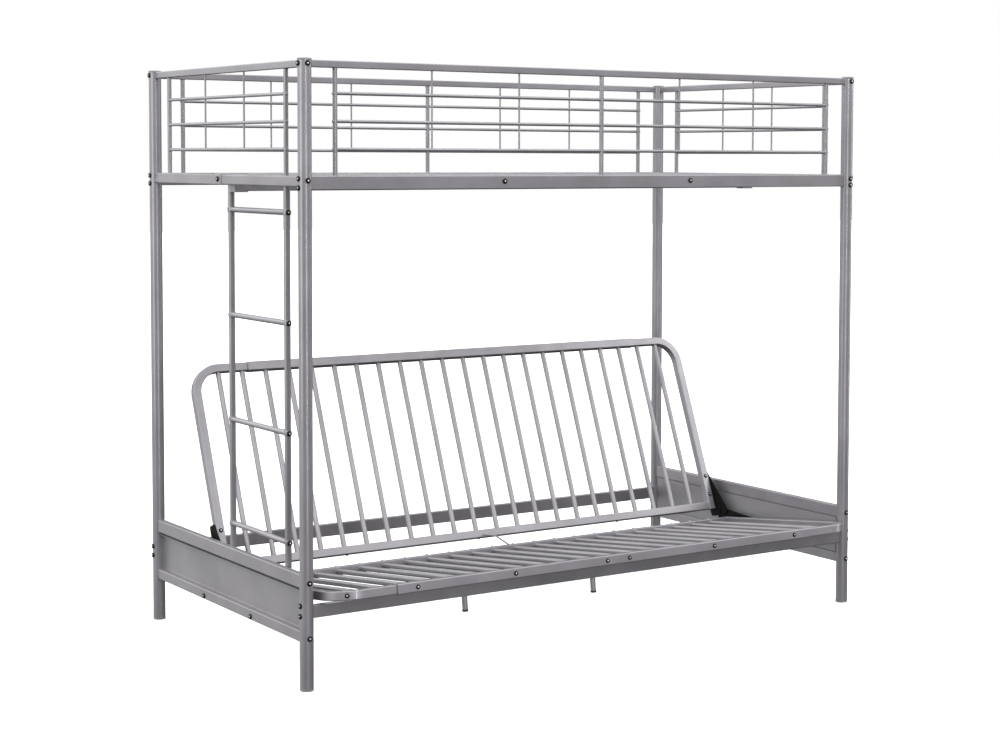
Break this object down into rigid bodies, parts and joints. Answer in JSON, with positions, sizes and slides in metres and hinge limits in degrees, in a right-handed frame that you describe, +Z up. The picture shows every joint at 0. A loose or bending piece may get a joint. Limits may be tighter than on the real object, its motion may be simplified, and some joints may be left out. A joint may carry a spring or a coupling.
{
  "type": "loft bed",
  "caption": "Tubular steel loft bed with guards and an end ladder over a slatted futon whose seat and back fold flat into a bed.",
  "frame": {"origin": "middle of the bed's box on the floor, in the sofa pose", "axes": "+X along the bed towards its right end, +Y towards the rear, +Z up"},
  "size_m": [1.9814, 1.1228, 1.705],
  "materials": {
    "silver_coat": "silver grey powder coat, satin",
    "silver_sheet": "silver grey powder coat on sheet, satin",
    "black_steel": "black coated steel, satin",
    "black_plastic": "moulded, matte",
    "grey_plastic": "moulded, matte"
  },
  "bodies": {
    "frame": {"post_front_left": "silver_coat", "post_front_right": "silver_coat", "post_rear_left": "silver_coat", "post_rear_right": "silver_coat", "post_cap_front_left": "grey_plastic", "post_cap_front_right": "grey_plastic", "post_cap_rear_left": "grey_plastic", "post_cap_rear_right": "grey_plastic", "foot_front_left": "grey_plastic", "foot_front_right": "grey_plastic", "foot_rear_left": "grey_plastic", "foot_rear_right": "grey_plastic", "bunk_rail_front": "silver_coat", "bunk_rail_rear": "silver_coat", "bunk_end_rail_left_front": "silver_coat", "bunk_end_rail_left_rear": "silver_coat", "bunk_end_rail_right": "silver_coat", "guard_front": "silver_coat", "guard_rear": "silver_coat", "guard_left": "silver_coat", "guard_right": "silver_coat", "bunk_slat_deck": "silver_coat", "centre_beam": "silver_coat", "beam_bracket_left": "silver_coat", "beam_bracket_right": "silver_coat", "ladder_stile_front": "silver_coat", "ladder_stile_rear": "silver_coat", "ladder_rung_1": "silver_coat", "ladder_rung_2": "silver_coat", "ladder_rung_3": "silver_coat", "ladder_rung_4": "silver_coat", "arm_rail_left": "silver_coat", "arm_rail_right": "silver_coat", "arm_low_rail_left": "silver_coat", "arm_low_rail_right": "silver_coat", "arm_panel_left": "silver_sheet", "arm_panel_right": "silver_sheet", "lower_rail_front": "silver_coat", "lower_rail_rear": "silver_coat", "slide_guide_left": "silver_coat", "slide_guide_right": "silver_coat"},
    "carriage": {"carrier_left": "black_steel", "carrier_right": "black_steel"},
    "seat": {"seat_side_left": "silver_coat", "seat_side_right": "silver_coat", "seat_front_tube": "silver_coat", "seat_slats": "silver_coat", "seat_ear_left": "black_steel", "seat_ear_right": "black_steel", "centre_leg": "silver_coat", "leg_cap_left": "black_plastic", "leg_cap_right": "black_plastic", "wire_link": "silver_coat"},
    "back": {"back_side_left": "silver_coat", "back_side_right": "silver_coat", "back_top_tube": "silver_coat", "back_slats": "silver_coat", "hinge_plate_left": "black_steel", "hinge_plate_right": "black_steel"}
  },
  "joints": [
    {"name": "futon_slide", "type": "slide", "parent": "frame", "child": "carriage", "axis": [0, -0.9533, 0.302], "range_m": [0, 0.23182]},
    {"name": "seat_fold", "type": "hinge", "parent": "carriage", "child": "seat", "pos_m": [0, 0.12544, 0.211], "axis": [1, 0, 0], "range_deg": [0, 6.95]},
    {"name": "back_fold", "type": "hinge", "parent": "carriage", "child": "back", "pos_m": [0, 0.12544, 0.211], "axis": [1, 0, 0], "range_deg": [-68.2, 0]}
  ],
  "couplings": [
    {"joint": "seat_fold", "follows": "futon_slide", "rad_per_m": 0.52325},
    {"joint": "back_fold", "follows": "futon_slide", "rad_per_m": -5.1346}
  ]
}
